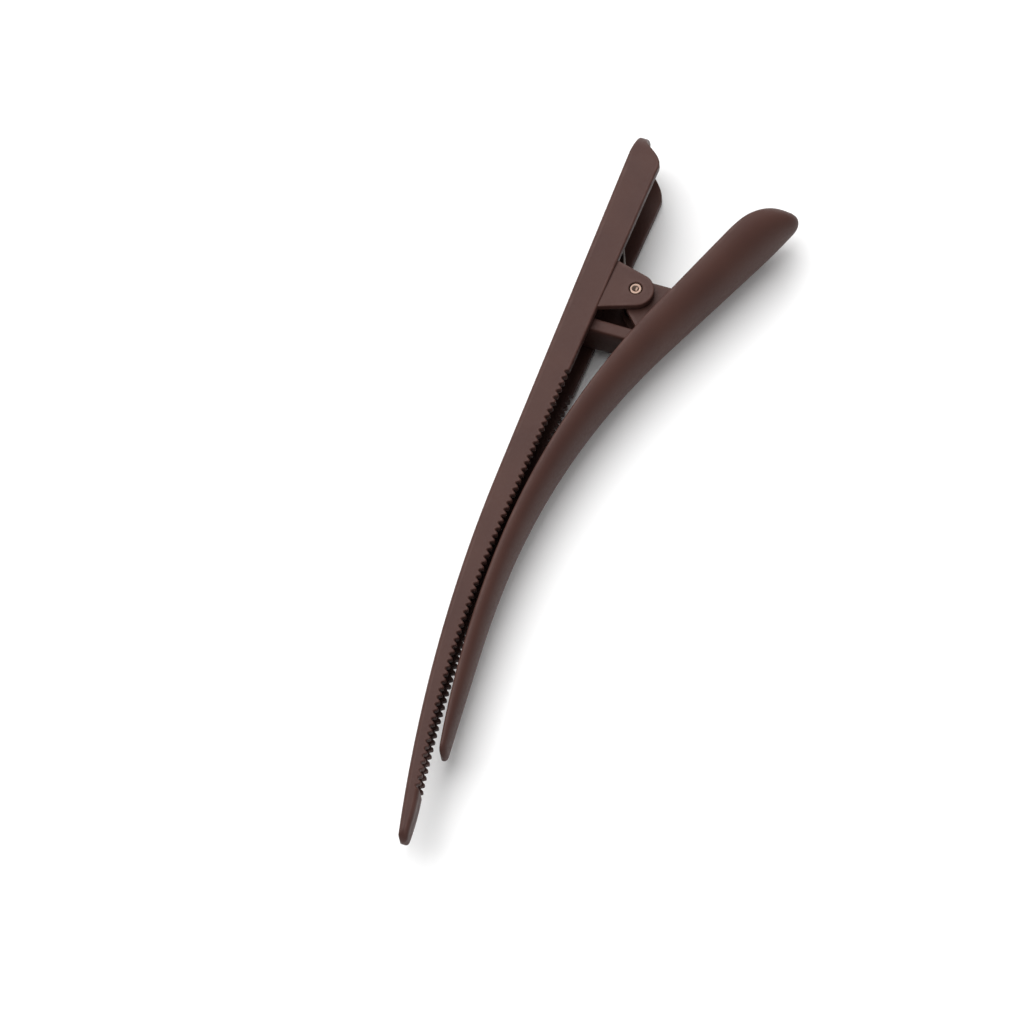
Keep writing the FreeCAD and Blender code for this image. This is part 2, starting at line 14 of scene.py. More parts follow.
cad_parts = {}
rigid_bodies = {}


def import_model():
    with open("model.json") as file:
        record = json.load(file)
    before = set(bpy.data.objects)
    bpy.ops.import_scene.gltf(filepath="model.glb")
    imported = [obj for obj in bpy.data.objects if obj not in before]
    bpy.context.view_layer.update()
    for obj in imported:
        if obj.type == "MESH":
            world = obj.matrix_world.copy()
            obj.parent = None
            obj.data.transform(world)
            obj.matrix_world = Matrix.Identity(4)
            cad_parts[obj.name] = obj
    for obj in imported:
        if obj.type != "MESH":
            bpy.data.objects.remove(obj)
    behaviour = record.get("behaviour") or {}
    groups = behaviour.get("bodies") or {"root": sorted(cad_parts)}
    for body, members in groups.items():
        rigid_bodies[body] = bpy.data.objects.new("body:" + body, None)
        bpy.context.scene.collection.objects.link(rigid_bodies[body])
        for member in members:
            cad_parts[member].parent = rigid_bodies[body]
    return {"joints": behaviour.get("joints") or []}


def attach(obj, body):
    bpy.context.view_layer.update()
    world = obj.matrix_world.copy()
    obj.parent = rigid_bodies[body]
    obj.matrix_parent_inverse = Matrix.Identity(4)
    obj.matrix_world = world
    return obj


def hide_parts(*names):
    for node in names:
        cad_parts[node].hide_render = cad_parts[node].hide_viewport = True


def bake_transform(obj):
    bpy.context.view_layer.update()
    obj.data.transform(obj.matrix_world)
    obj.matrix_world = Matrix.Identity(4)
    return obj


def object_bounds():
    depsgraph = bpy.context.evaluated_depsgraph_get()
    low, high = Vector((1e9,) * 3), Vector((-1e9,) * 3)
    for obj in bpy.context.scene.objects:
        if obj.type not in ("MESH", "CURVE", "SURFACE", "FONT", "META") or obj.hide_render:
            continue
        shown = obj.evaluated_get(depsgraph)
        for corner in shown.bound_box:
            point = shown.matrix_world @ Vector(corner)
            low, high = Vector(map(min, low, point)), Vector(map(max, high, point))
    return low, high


bl_info = {
    "name": "Sectioning clip",
    "version": (1, 0, 0),
    "blender": (4, 5, 0),
    "location": "View3D > Sidebar > Clip",
    "description": "Builds the arms, pin and spring of a hair sectioning clip",
    "category": "Object",
}

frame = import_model()
CAD_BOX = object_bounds()
MM = 0.001
HINGE = frame["joints"][0]
PIN = np.array(HINGE["pos_m"])
LONG_BODY, SHORT_BODY = HINGE["parent"], HINGE["child"]

# Side-view lines: height at the pin, heading at the handle in degrees, then bends towards the tip as
# (start along X or None to follow on, radius, degrees turned).
LONG_BACK = (-9.15 * MM, -0.67, [(36.0 * MM, 245 * MM, 13.4)])
LONG_RIM = (-4.31 * MM, -2.05, [(41.9 * MM, 215 * MM, 12.2), (None, -40 * MM, -6.0)])
SHORT_RIM = (4.54 * MM, -22.3, [(2.0 * MM, 121 * MM, 22.3), (None, 170 * MM, 11.5)])
SHORT_CROWN = (9.69 * MM, -24.7, [(6.0 * MM, 107 * MM, 24.7), (None, 150 * MM, 4.3)])

# Long arm: the handle end's scoop and heel, the tip, the notches in shares of the pitch, and the ears.
SCOOP_START = 5.6 * MM
SCOOP_SLOPE = math.tan(math.radians(47))
SCOOP_TOE_BLEND, SCOOP_RIM_BLEND = 1.4 * MM, 1.6 * MM
HEEL_REACH, HEEL_DEPTH = 1.0 * MM, 0.9 * MM
LONG_TIP_REACH, LONG_TIP_DEPTH = 0.8 * MM, 0.55 * MM
LONG_TIP_PLAN = 2 * MM
LONG_TIP_ROUND = 0.6 * MM
CHANNEL_TAPER = 0.0612
NOTCH_TOP, NOTCH_FLAT = 0.40, 0.11
LONG_EAR_FEET = (-4.1 * MM, 5.2 * MM)
LONG_EAR_CENTRE = (0.1375 * MM, 0.0)

# Short arm: the handle end's lip and nose, the tip, the crown's section, the ear's front, how far the ears
# and the hair stop reach up into the shell as shares of its height, and the stop's gap over the floor.
LIP_REACH, LIP_RISE = 6.5 * MM, 3.6 * MM
NOSE_ROUND = 2.3 * MM
SHORT_TIP_PLAN = 1.5 * MM
SHORT_TIP_STATIONS = 2.4 * MM
SHORT_RIM_TIP_REACH, SHORT_RIM_TIP_RISE = 0.8 * MM, 0.6 * MM
CROWN_TIP_REACH, CROWN_TIP_DROP = 0.9 * MM, 0.7 * MM
CROWN_SHARE = 2 / 2.2
SHORT_EAR_FRONT = 5.9 * MM
EAR_ROOT, STOP_ROOT = 0.74, 0.77
STOP_LIFT = 1.1 * MM

# Spring: turns between its legs, where along the clip the legs end, and their gaps to the arms.
FULL_TURNS = 4
LONG_LEG_END, SHORT_LEG_END = -13.0 * MM, -9.0 * MM
SEAT_GAP, CROWN_GAP = 0.06 * MM, 0.45 * MM

# All pieces: the angle past which an edge stays sharp, the lip of the ears' bores, and the floor's gap.
SHARP_ANGLE = math.radians(35)
BORE_LIP = 0.12 * MM
FLOOR_GAP = 0.02 * MM


# ---- Sizes and colours a user would change ---------------------------------------------------------

def length(name, description, default):
    """A length property, given in millimetres."""
    return bpy.props.FloatProperty(name=name, description=description, default=default * MM, unit="LENGTH",
                                   precision=5)


def colour(name, description, default):
    """A colour property."""
    return bpy.props.FloatVectorProperty(name=name, description=description, default=default, size=3,
                                         subtype="COLOR", min=0.0, max=1.0)


class ClipArmSizes(bpy.types.PropertyGroup):
    """Sizes of the two moulded arms."""
    width: length("Width at pin", "Outside width of an arm level with the pin", 10.5)
    taper: bpy.props.FloatProperty(name="Taper", description="Width lost per length towards the tip",
                                   default=0.068)
    long_handle: length("Long handle", "Pin to the end of the long arm's handle", 27.8)
    long_jaw: length("Long jaw", "Pin to the tip of the long arm", 94.6)
    long_round: length("Long end", "Length of the rounded end of the long handle", 8.5)
    long_wall: length("Long wall", "Side wall of the long arm", 1.4)
    long_floor: length("Long floor", "Floor of the long arm's channel", 1.3)
    channel_end: length("Channel end", "Pin to the end of the long arm's channel", 86.6)
    short_handle: length("Short handle", "Pin to the end of the short arm's handle", 22.1)
    short_jaw: length("Short jaw", "Pin to the tip of the short arm", 80.4)
    short_round: length("Short end", "Length of the rounded end of the short handle", 9.0)
    short_shell: length("Short shell", "Shell thickness of the short arm", 1.2)
    hollow_end: length("Hollow end", "Pin to the end of the short arm's hollow", 75.5)
    edge: length("Edge round", "Round along the moulded edges", 0.3)
    back_edge: length("Back round", "Round along the back of the long arm", 0.7)
    tooth_start: length("First notch", "Pin to the first notch of the tooth rows", 16.7)
    tooth_pitch: length("Tooth pitch", "Distance from tooth to tooth", 1.162)
    tooth_depth: length("Tooth depth", "Depth of the notches", 0.5)
    tooth_count: bpy.props.IntProperty(name="Notches", description="Notches in each row", default=61)


class ClipHingeSizes(bpy.types.PropertyGroup):
    """Sizes of the ears, the pin, the hair stop and the spring."""
    pin_radius: length("Pin radius", "Radius of the hinge pin", 1.0)
    pin_half: length("Pin half length", "Middle of the pin to either end", 4.8)
    bore_radius: length("Bore radius", "Radius of the holes that show in the ears", 1.03)
    long_ear_out: length("Outer ear", "Mid width to the outer face of the long arm's ears", 4.9)
    short_ear_out: length("Inner ear", "Mid width to the outer face of the short arm's ears", 3.4)
    ear_thickness: length("Ear thickness", "Thickness of every ear", 1.15)
    long_ear_radius: length("Outer ear radius", "Round top of the long arm's ears", 2.85)
    short_ear_radius: length("Inner ear radius", "Round end of the short arm's ears", 2.5)
    stop_start: length("Stop place", "Pin to the hair stop", 5.8)
    stop_thickness: length("Stop thickness", "Thickness of the hair stop", 2.2)
    stop_half: length("Stop half width", "Half the width of the hair stop", 3.15)
    wire: length("Spring wire", "Diameter of the spring wire", 0.7)
    coil: length("Coil radius", "Radius of the coil's centre line", 1.7)
    pitch: length("Coil pitch", "Distance from turn to turn", 0.78)


class ClipColours(bpy.types.PropertyGroup):
    """Colours of the plastic, the metal and the stage."""
    plastic: colour("Plastic", "Brown of the moulded arms", (0.061, 0.026, 0.020))
    plastic_deep: colour("Plastic, darker", "Darker mottle in the plastic", (0.050, 0.021, 0.017))
    # Paler brown along the edges: partly edge wear, partly a painted highlight where rounded edges catch the
    # light.
    plastic_rubbed_highlight: colour("Plastic, rubbed", "Brown on the handled edges", (0.088, 0.044, 0.036))
    pin_metal: colour("Pin", "Steel of the pin", (0.21, 0.145, 0.115))
    spring_metal: colour("Spring", "Steel of the spring", (0.17, 0.145, 0.135))
    floor: colour("Floor", "Pale floor", (0.90, 0.90, 0.90))


# ---- Lines and outlines ------------------------------------------------------------------------------

def side_line(x, line):
    """Height over x of a straight line that turns into arcs.

    On an arc of radius R entered at x0 with heading a, the heading t has sin t = sin a + (x - x0) / R, and
    the height is the entry height plus R (cos a - cos t). Past the last arc the line runs on straight.
    """
    height, degrees, bends = line
    heading = math.radians(degrees)
    y = height + x * math.tan(heading)
    end_x, end_y = 0.0, height
    for start, radius, turn in bends:
        if start is not None:
            end_y += (start - end_x) * math.tan(heading)
            end_x = start
        start_x, start_y, start_heading = end_x, end_y, heading
        heading += math.radians(turn)
        end_x = start_x + radius * (math.sin(heading) - math.sin(start_heading))
        end_y = start_y + radius * (math.cos(start_heading) - math.cos(heading))
        sine = math.sin(start_heading) + (np.clip(x, start_x, end_x) - start_x) / radius
        arc = start_y + radius * (math.cos(start_heading) - np.sqrt(1 - sine ** 2))
        y = np.where(x > start_x, np.where(x > end_x, end_y + (x - end_x) * math.tan(heading), arc), y)
    return y


def corner_drop(x, end, reach, depth):
    """How far an elliptical corner falls away near an end: depth (1 - sqrt(1 - u^2)), u from 0 to 1."""
    share = np.clip((x - end + reach) / reach, 0, 1)
    return depth * (1 - np.sqrt(1 - share ** 2))


def end_shrink(x, low, high, low_round, high_round):
    """Plan of the arm's ends: sqrt(1 - u^2) over each rounded end, 1 between."""
    left = np.clip((low + low_round - x) / low_round, 0, 1)
    right = np.clip((x - high + high_round) / high_round, 0, 1)
    return np.sqrt(np.clip(1 - left ** 2, 0, 1)) * np.sqrt(np.clip(1 - right ** 2, 0, 1))


def soft_min(a, b, reach):
    """The smaller of two heights, blended over reach by a parabola where they cross."""
    near = np.clip(reach - np.abs(a - b), 0, None) / reach
    return np.minimum(a, b) - near ** 2 * reach / 4


def near_end(end, reach, count):
    """Stations that crowd towards an end as 1 - cos does."""
    angles = np.linspace(0.05, math.pi / 2, count)
    return end + reach * (1 - np.cos(angles))


def half_width(sizes, x):
    """Half the outside width of an arm, falling evenly towards the tip."""
    return 0.5 * (sizes.width - sizes.taper * x)


def corner(z, y, radius, start, end, count):
    """Points of a rounded corner: centre plus radius (cos a, sin a), one row for each station."""
    angles = np.radians(np.linspace(start, end, count))
    return (z[:, None] + radius[:, None] * np.cos(angles), y[:, None] + radius[:, None] * np.sin(angles))


def between(a, b, shares):
    """Columns at given shares of the way from one point to another."""
    return (a[0][:, None] + (b[0] - a[0])[:, None] * shares, a[1][:, None] + (b[1] - a[1])[:, None] * shares)


def resample(points, count):
    """A closed outline divided into equal steps."""
    closed = np.vstack([points, points[:1]])
    reach = np.concatenate([[0], np.cumsum(np.linalg.norm(np.diff(closed, axis=0), axis=1))])
    steps = np.linspace(0, reach[-1], count, endpoint=False)
    return np.stack([np.interp(steps, reach, closed[:, i]) for i in range(2)], axis=1)


def tangent_angle(centre, radius, point, side):
    """Angle on a circle where a point's tangent touches it: atan2 of the point, plus or minus acos(r/d)."""
    dx, dy = point[0] - centre[0], point[1] - centre[1]
    return math.atan2(dy, dx) + side * math.acos(radius / math.hypot(dx, dy))


def arc_points(centre, radius, start, end, count=40):
    """Points of an arc: centre plus radius (cos a, sin a)."""
    angles = np.linspace(start, end, count)
    return np.stack([centre[0] + radius * np.cos(angles), centre[1] + radius * np.sin(angles)], axis=1)


# ---- Meshes ------------------------------------------------------------------------------------------

def grid_faces(rows, columns, wrap_rows=False):
    """Quads of a grid whose columns join up, and whose rows do too if asked."""
    last = rows if wrap_rows else rows - 1
    r, c = np.meshgrid(np.arange(last), np.arange(columns), indexing="ij")
    r2, c2 = (r + 1) % rows, (c + 1) % columns
    corners = [r * columns + c, r * columns + c2, r2 * columns + c2, r2 * columns + c]
    return np.stack(corners, -1).reshape(-1, 4)


def closed_tube(points, wear_highlight, wrap_rows=False):
    """A skin over rings of points, shape (rows, columns, 3).

    Each end is closed by a pole at its ring's middle, unless the rows join up too.
    """
    rows, columns = points.shape[:2]
    faces = grid_faces(rows, columns, wrap_rows)
    flat, worn_highlight = points.reshape(-1, 3), np.broadcast_to(wear_highlight, (rows, columns)).reshape(-1)
    if wrap_rows:
        return outward(flat, faces.tolist(), worn_highlight)
    poles = np.array([points[0].mean(0), points[-1].mean(0)])
    ring = np.arange(columns)
    after = (ring + 1) % columns
    first, last = len(flat), len(flat) + 1
    top = (rows - 1) * columns
    caps = [(first, b, a) for a, b in zip(ring, after)]
    caps += [(last, top + a, top + b) for a, b in zip(ring, after)]
    worn_highlight = np.concatenate([worn_highlight, worn_highlight[:1], worn_highlight[-1:]])
    return outward(np.vstack([flat, poles]), faces.tolist() + [tuple(int(i) for i in f) for f in caps], worn_highlight)


def mirrored_skin(x, strips, wear_highlight):
    """A closed skin along x from strips of half a section, mirrored in the mid plane.

    A strip is a (z, y) pair of one row for each station, and one edge-mask value: wear and painted highlight.
    """
    worn_highlight = np.concatenate([np.full(strip[0].shape[1], value) for strip, value in zip(strips, wear_highlight)])
    z, y = (np.concatenate([strip[i] for strip in strips], axis=1) for i in range(2))
    z = np.concatenate([z, -z[:, -2:0:-1]], axis=1)
    y = np.concatenate([y, y[:, -2:0:-1]], axis=1)
    worn_highlight = np.concatenate([worn_highlight, worn_highlight[-2:0:-1]])
    points = np.stack([np.broadcast_to(x[:, None], z.shape), y, z], axis=2)
    return closed_tube(points, worn_highlight[None])


def outward(points, faces, worn_highlight):
    """The same skin with its faces outwards, so that its volume summed over signed fans is positive."""
    quads = np.array([f if len(f) == 4 else (*f, f[-1]) for f in faces])
    a, b, c, d = (points[quads[:, i]] for i in range(4))
    volume = np.einsum("ij,ij->", a, np.cross(b, c)) + np.einsum("ij,ij->", a, np.cross(c, d))
    if volume < 0:
        faces = [tuple(reversed(f)) for f in faces]
    return points, faces, worn_highlight


def build(name, skins, body, nodes, material):
    """One object from closed skins, put where the pin stands, riding on its body in place of CAD nodes."""
    points, faces, worn_highlight, start = [], [], [], 0
    for skin_points, skin_faces, skin_worn_highlight in skins:
        points.append(skin_points)
        faces += [tuple(start + i for i in f) for f in skin_faces]
        worn_highlight.append(skin_worn_highlight)
        start += len(skin_points)
    mesh = bpy.data.meshes.new(name)
    mesh.from_pydata((np.vstack(points) + PIN).tolist(), [], faces)
    # Per-point edge mask: edge wear, and where the plastic gets a paler painted highlight on its edges.
    rubbed_highlight = mesh.attributes.new("rubbed_highlight", "FLOAT", "POINT")
    rubbed_highlight.data.foreach_set("value", np.concatenate(worn_highlight).astype(np.float32))
    mesh.polygons.foreach_set("use_smooth", np.ones(len(mesh.polygons), bool))
    mesh.set_sharp_from_angle(angle=SHARP_ANGLE)
    mesh.update()
    piece = bpy.data.objects.new(name, mesh)
    bpy.context.scene.collection.objects.link(piece)
    mesh.materials.append(material)
    if body:
        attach(piece, body)
    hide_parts(*nodes)
    return piece


def plate(outline, bore, low, high, edge):
    """A flat plate with a round hole: each outline point is joined to the hole's rim along its own radius.

    The rows go from the hole across one face, round the outside edge by quarter circles of the edge radius,
    and back across the other face. The grid closes both ways.
    """
    radius = np.linalg.norm(outline, axis=1)[:, None]
    ray = outline / radius
    turn = np.radians(np.linspace(90, 0, 6))
    insets = np.concatenate([edge * (1 - np.cos(turn)), edge * (1 - np.cos(turn))[::-1]])
    heights = np.concatenate([high - edge + edge * np.sin(turn), low + edge - edge * np.sin(turn)[::-1]])
    inner = bore + BORE_LIP
    reach = radius - edge - bore - BORE_LIP
    # Third value of each row: edge mask of wear and painted highlight, on the bore's lip and round the
    # outside edge.
    rows = [(bore, high - BORE_LIP, 0.6), (inner, high, 0.6)]
    rows += [(inner + reach * share, high, 0.0) for share in (0.35, 0.7)]
    rows += [(radius - inset, z, 1.0) for inset, z in zip(insets, heights)]
    rows += [(inner + reach * share, low, 0.0) for share in (0.7, 0.35)]
    rows += [(inner, low, 0.6), (bore, low + BORE_LIP, 0.6)]
    points = [np.concatenate([ray * r, np.full((len(ray), 1), z)], axis=1) for r, z, _ in rows]
    worn_highlight = np.array([row[2] for row in rows])
    return closed_tube(np.stack(points), worn_highlight[:, None], wrap_rows=True)


def lathe(profile, start, axis, count):
    """A profile of (radius, height) turned about an axis: start + height axis + radius (cos a, sin a)."""
    axis = Vector(axis).normalized()
    across = axis.orthogonal().normalized()
    other = axis.cross(across)
    angles = np.linspace(0, 2 * math.pi, count, endpoint=False)
    ring = np.cos(angles)[:, None] * np.array(across) + np.sin(angles)[:, None] * np.array(other)
    radii, heights = np.array(profile).T
    points = np.array(start) + heights[:, None, None] * np.array(axis) + radii[:, None, None] * ring
    return closed_tube(points, np.zeros((len(radii), 1)))


def gate_stub(x, y):
    """Domed stub left by the mould's gate: radius r cos a and height h sin a over the dome."""
    radius, reach, root = 0.45 * MM, 0.35 * MM, 0.6 * MM
    angles = np.radians(np.linspace(0, 85, 7))
    dome = [(radius * math.cos(a) ** 0.6, root + reach * math.sin(a)) for a in angles]
    return lathe([(radius, 0.0)] + dome, (x + root, y, 0), (-1, 0, 0), 24)


# ---- Long arm ----------------------------------------------------------------------------------------

def tooth_stations(sizes, per_tooth=10):
    """Stations along the tooth rows at even steps of the rim's length, and the count of teeth up to any x."""
    dense = np.linspace(0, sizes.long_jaw, 4000)
    height = side_line(dense, LONG_RIM)
    reach = np.concatenate([[0], np.cumsum(np.hypot(np.diff(dense), np.diff(height)))])
    first = np.interp(sizes.tooth_start, dense, reach)
    steps = (np.arange(sizes.tooth_count * per_tooth + 1) / per_tooth - 0.5) * sizes.tooth_pitch
    stations = np.interp(first + steps, reach, dense)
    return stations, lambda x: (np.interp(x, dense, reach) - first) / sizes.tooth_pitch


def notch_depth(sizes, x, phase_at):
    """Depth of the tooth notches: flat-bottomed, with flanks half straight and half eased."""
    phase = phase_at(x)
    inside = (phase > -0.5) & (phase < sizes.tooth_count - 0.5)
    away = np.abs(phase - np.round(phase))
    flank = np.clip((NOTCH_TOP - away) / (NOTCH_TOP - NOTCH_FLAT), 0, 1)
    eased = 0.5 * flank + 0.5 * flank ** 2 * (3 - 2 * flank)
    return np.where(inside, sizes.tooth_depth * eased, 0.0)


def long_channel_skin(sizes):
    """The long arm's channel: a rounded U section carried along the handle and jaw.

    Each half section runs from the middle of the back, round the back edge, up the side, over the rim and
    down into the channel. Rim height, widths and rounds are all functions of x.
    """
    start, tip = -sizes.long_handle, sizes.long_jaw
    teeth, phase_at = tooth_stations(sizes)
    x = np.unique(np.round(np.concatenate([
        near_end(start, sizes.long_round, 46), np.linspace(start + sizes.long_round, teeth[0], 60), teeth,
        np.linspace(teeth[-1], tip - LONG_TIP_PLAN, 26), tip - near_end(0.0, LONG_TIP_PLAN, 22)]), 8))
    back_line, rim_line = side_line(x, LONG_BACK), side_line(x, LONG_RIM)
    toe = side_line(np.array([start]), LONG_BACK)[0] + sizes.long_floor
    drop = start + SCOOP_START
    fall = side_line(np.array([drop]), LONG_RIM)[0] - toe
    scoop = toe + (x - (drop - fall / SCOOP_SLOPE)) * SCOOP_SLOPE
    rim = soft_min(rim_line, -soft_min(-scoop, np.full_like(x, -toe), SCOOP_TOE_BLEND), SCOOP_RIM_BLEND)
    tip_drop = corner_drop(x, tip, LONG_TIP_REACH, LONG_TIP_DEPTH)
    rim = rim - tip_drop
    back = back_line + corner_drop(-x, -start, HEEL_REACH, HEEL_DEPTH) + tip_drop
    rim = rim - notch_depth(sizes, x, phase_at)
    outer = half_width(sizes, x) * end_shrink(x, start, tip, sizes.long_round, LONG_TIP_PLAN)
    inner = half_width(sizes, x) + 0.5 * (sizes.taper - CHANNEL_TAPER) * x - sizes.long_wall
    inner_round = sizes.long_round - sizes.long_wall
    inner = inner * end_shrink(x, start + sizes.long_wall, tip, inner_round, LONG_TIP_PLAN)
    open_share = np.clip((sizes.channel_end - x) / (0.5 * MM), 0, 1)
    inner = np.clip(inner, 0.35 * outer, 0.85 * outer) * (0.45 + 0.55 * open_share)
    depth = np.clip(rim - back_line - sizes.long_floor, 0, None) * open_share * (2 - open_share)
    floor = rim - depth
    height = rim - back
    cut_away = half_width(sizes, x) - outer
    back_round = np.minimum.reduce([
        np.clip(sizes.back_edge - cut_away, 0.2 * MM, None), 0.8 * outer, 0.42 * height])
    rim_round = np.minimum.reduce([
        sizes.edge + LONG_TIP_ROUND * (1 - open_share), 0.42 * (outer - inner), 0.42 * height])
    lip_round = np.minimum.reduce([0.7 * rim_round, 0.4 * depth])
    foot_round = np.minimum.reduce([np.full_like(x, 0.45 * MM), 0.4 * depth, 0.5 * inner])
    zero = np.zeros_like(x)
    sections = [between((zero, back), (outer - back_round, back), np.array([0, 0.5, 0.93])),
                corner(outer - back_round, back + back_round, back_round, -90, 0, 7),
                between((outer, back + back_round), (outer, rim - rim_round), np.array([0.06, 0.5, 0.94])),
                corner(outer - rim_round, rim - rim_round, rim_round, 0, 90, 6),
                between((outer - rim_round, rim), (inner + lip_round, rim), np.array([0.5])),
                corner(inner + lip_round, rim - lip_round, lip_round, 90, 180, 5),
                between((inner, rim - lip_round), (inner, floor + foot_round), np.array([0.08, 0.5, 0.92])),
                corner(inner - foot_round, floor + foot_round, foot_round, 0, -90, 5),
                between((inner - foot_round, floor), (zero, floor), np.array([0.1, 0.5, 1]))]
    # Edge mask of each strip: wear and painted highlight on the back edge, the rim and its lip.
    return mirrored_skin(x, sections, (0, 0.7, 0, 1, 1, 0.8, 0, 0, 0))


def long_ear_outline(hinge):
    """Round-topped ear: two feet in the wall, tangents up to a circle near the pin, and the circle's top."""
    feet = [(x, side_line(np.array([x]), LONG_RIM)[0] - 1.2 * MM) for x in LONG_EAR_FEET]
    radius = hinge.long_ear_radius
    left = tangent_angle(LONG_EAR_CENTRE, radius, feet[0], -1)
    right = tangent_angle(LONG_EAR_CENTRE, radius, feet[1], 1)
    arc = arc_points(LONG_EAR_CENTRE, radius, right, left + (2 * math.pi if left < right else 0))
    return resample(np.vstack([arc, [feet[0]], [feet[1]]]), 160)


class CLIP_OT_long_arm(bpy.types.Operator):
    """Build the long toothed arm with its two outer ears"""
    bl_idname = "clip.long_arm"
    bl_label = "Long arm"

    def execute(self, context):
        sizes, hinge = context.scene.clip_arms, context.scene.clip_hinge
        skins = [long_channel_skin(sizes)]
        outline = long_ear_outline(hinge)
        for side in (1, -1):
            out = side * hinge.long_ear_out
            faces = sorted([out, out - side * hinge.ear_thickness])
            skins.append(plate(outline, hinge.bore_radius, *faces, 0.22 * MM))
        nub_y = side_line(np.array([-sizes.long_handle]), LONG_BACK)[0] + 0.5 * sizes.long_floor + 0.1 * MM
        skins.append(gate_stub(-sizes.long_handle, nub_y))
        build("long_arm_moulding", skins, LONG_BODY, ["long_arm"],
              moulded_plastic(context.scene))
        return {"FINISHED"}


# ---- Short arm ---------------------------------------------------------------------------------------

def short_lines(sizes, x):
    """Rim and crown heights of the short arm, with the rim's rise and the crown's fall at the ends."""
    start, tip = -sizes.short_handle, sizes.short_jaw
    low = side_line(x, SHORT_RIM) + corner_drop(-x, -start, LIP_REACH, LIP_RISE)
    high = side_line(x, SHORT_CROWN) - corner_drop(-x, -start, NOSE_ROUND, NOSE_ROUND)
    low = low + corner_drop(x, tip, SHORT_RIM_TIP_REACH, SHORT_RIM_TIP_RISE)
    return low, high - corner_drop(x, tip, CROWN_TIP_REACH, CROWN_TIP_DROP)


def short_shell_skin(sizes):
    """The short arm's crowned shell: an outer arch, a rounded rim and an inner arch carried along the arm.

    Each arch is a superellipse of power 2.2: width cos^(2/2.2) a, height sin^(2/2.2) a. The inner arch
    flattens on to the rim's level where the arm is solid.
    """
    start, tip = -sizes.short_handle, sizes.short_jaw
    x = np.unique(np.round(np.concatenate([
        near_end(start, sizes.short_round, 48),
        np.linspace(start + sizes.short_round, tip - SHORT_TIP_STATIONS, 230),
        tip - near_end(0.0, SHORT_TIP_STATIONS, 20)]), 8))
    low, high = short_lines(sizes, x)
    outer = half_width(sizes, x) * end_shrink(x, start, tip, sizes.short_round, SHORT_TIP_PLAN)
    rim_round = np.minimum.reduce([np.full_like(x, 1.2 * sizes.edge), 0.3 * outer, 0.25 * (high - low)])
    inner = np.clip(outer - sizes.short_shell, 0.45 * outer, None)
    open_handle = np.clip((x - start - sizes.short_shell) / (4 * MM), 0, 1)
    open_tip = np.clip((sizes.hollow_end - x) / (2 * MM), 0, 1)
    share = np.sqrt(1 - (1 - open_handle) ** 2) * np.sqrt(1 - (1 - open_tip) ** 2)
    roof = np.clip(high - sizes.short_shell - low, 0, None) * share
    lip = np.minimum(0.6 * rim_round, 0.3 * roof)
    angles = np.radians(np.linspace(90, 0, 19))
    cosine, sine = np.cos(angles) ** CROWN_SHARE, np.sin(angles) ** CROWN_SHARE
    cosine[0], sine[-1] = 0.0, 0.0
    arch = (outer[:, None] * cosine, (low + rim_round)[:, None] + (high - low - rim_round)[:, None] * sine)
    inner_arch = (inner[:, None] * cosine[::-1], (low + lip)[:, None] + (roof - lip)[:, None] * sine[::-1])
    sections = [(arch[0][:, :-1], arch[1][:, :-1]),
                corner(outer - rim_round, low + rim_round, rim_round, 0, -90, 6),
                between((outer - rim_round, low), (inner + lip, low), np.array([0.5])),
                corner(inner + lip, low + lip, lip, 270, 180, 5),
                (inner_arch[0][:, 1:], inner_arch[1][:, 1:])]
    # Edge mask of each strip: wear and painted highlight on the rim and its lip.
    return mirrored_skin(x, sections, (0, 1, 0.5, 0.5, 0))


def short_ear_outline(sizes, hinge):
    """Ear of the short arm: half round under the pin, its top hidden in the shell's wall."""
    radius = hinge.short_ear_radius
    front = (SHORT_EAR_FRONT, side_line(np.array([SHORT_EAR_FRONT]), SHORT_RIM)[0])
    right = tangent_angle((0, 0), radius, front, -1)
    arc = arc_points((0, 0), radius, -math.pi, right)
    top_x = np.linspace(front[0], -radius, 30)
    low, high = short_lines(sizes, top_x)
    top = np.stack([top_x, low + EAR_ROOT * (high - low)], axis=1)
    return resample(np.vstack([arc, [front], top]), 200)


def stop_skin(sizes, hinge):
    """Hair stop: a rounded rectangle carried up from its rounded lower edge into the shell's wall.

    The section is |x/a|^8 + |z/b|^8 = 1. Over the bottom it shrinks by a quarter circle of the corner radius.
    """
    middle = hinge.stop_start + 0.5 * hinge.stop_thickness
    half_x, half_z, edge = 0.5 * hinge.stop_thickness, hinge.stop_half, 0.45 * MM
    bottom = side_line(np.array([hinge.stop_start]), LONG_BACK)[0] + sizes.long_floor + STOP_LIFT
    angles = np.linspace(0, 2 * math.pi, 96, endpoint=False)
    cosine, sine = np.cos(angles), np.sin(angles)
    size = (np.abs(cosine) ** 8 + np.abs(sine) ** 8) ** (-1 / 8)
    turn = np.radians(np.linspace(4, 90, 8))
    insets = np.concatenate([[half_x * 0.6], edge * (1 - np.sin(turn)), np.zeros(9)])
    rise = np.concatenate([[0.0], edge * (1 - np.cos(turn))])
    low, high = short_lines(sizes, np.full(1, middle))
    top = low[0] + STOP_ROOT * (high[0] - low[0])
    levels = np.concatenate([bottom + rise, np.linspace(bottom + edge + 0.1 * MM, top, 9)])
    x = middle + (half_x - insets)[:, None] * cosine * size
    z = (half_z - insets)[:, None] * sine * size
    # Edge mask: wear and painted highlight on the rounded lower edge.
    worn_highlight = np.concatenate([np.ones(9), np.zeros(9)])[:, None]
    return closed_tube(np.stack([x, np.broadcast_to(levels[:, None], x.shape), z], axis=2), worn_highlight)


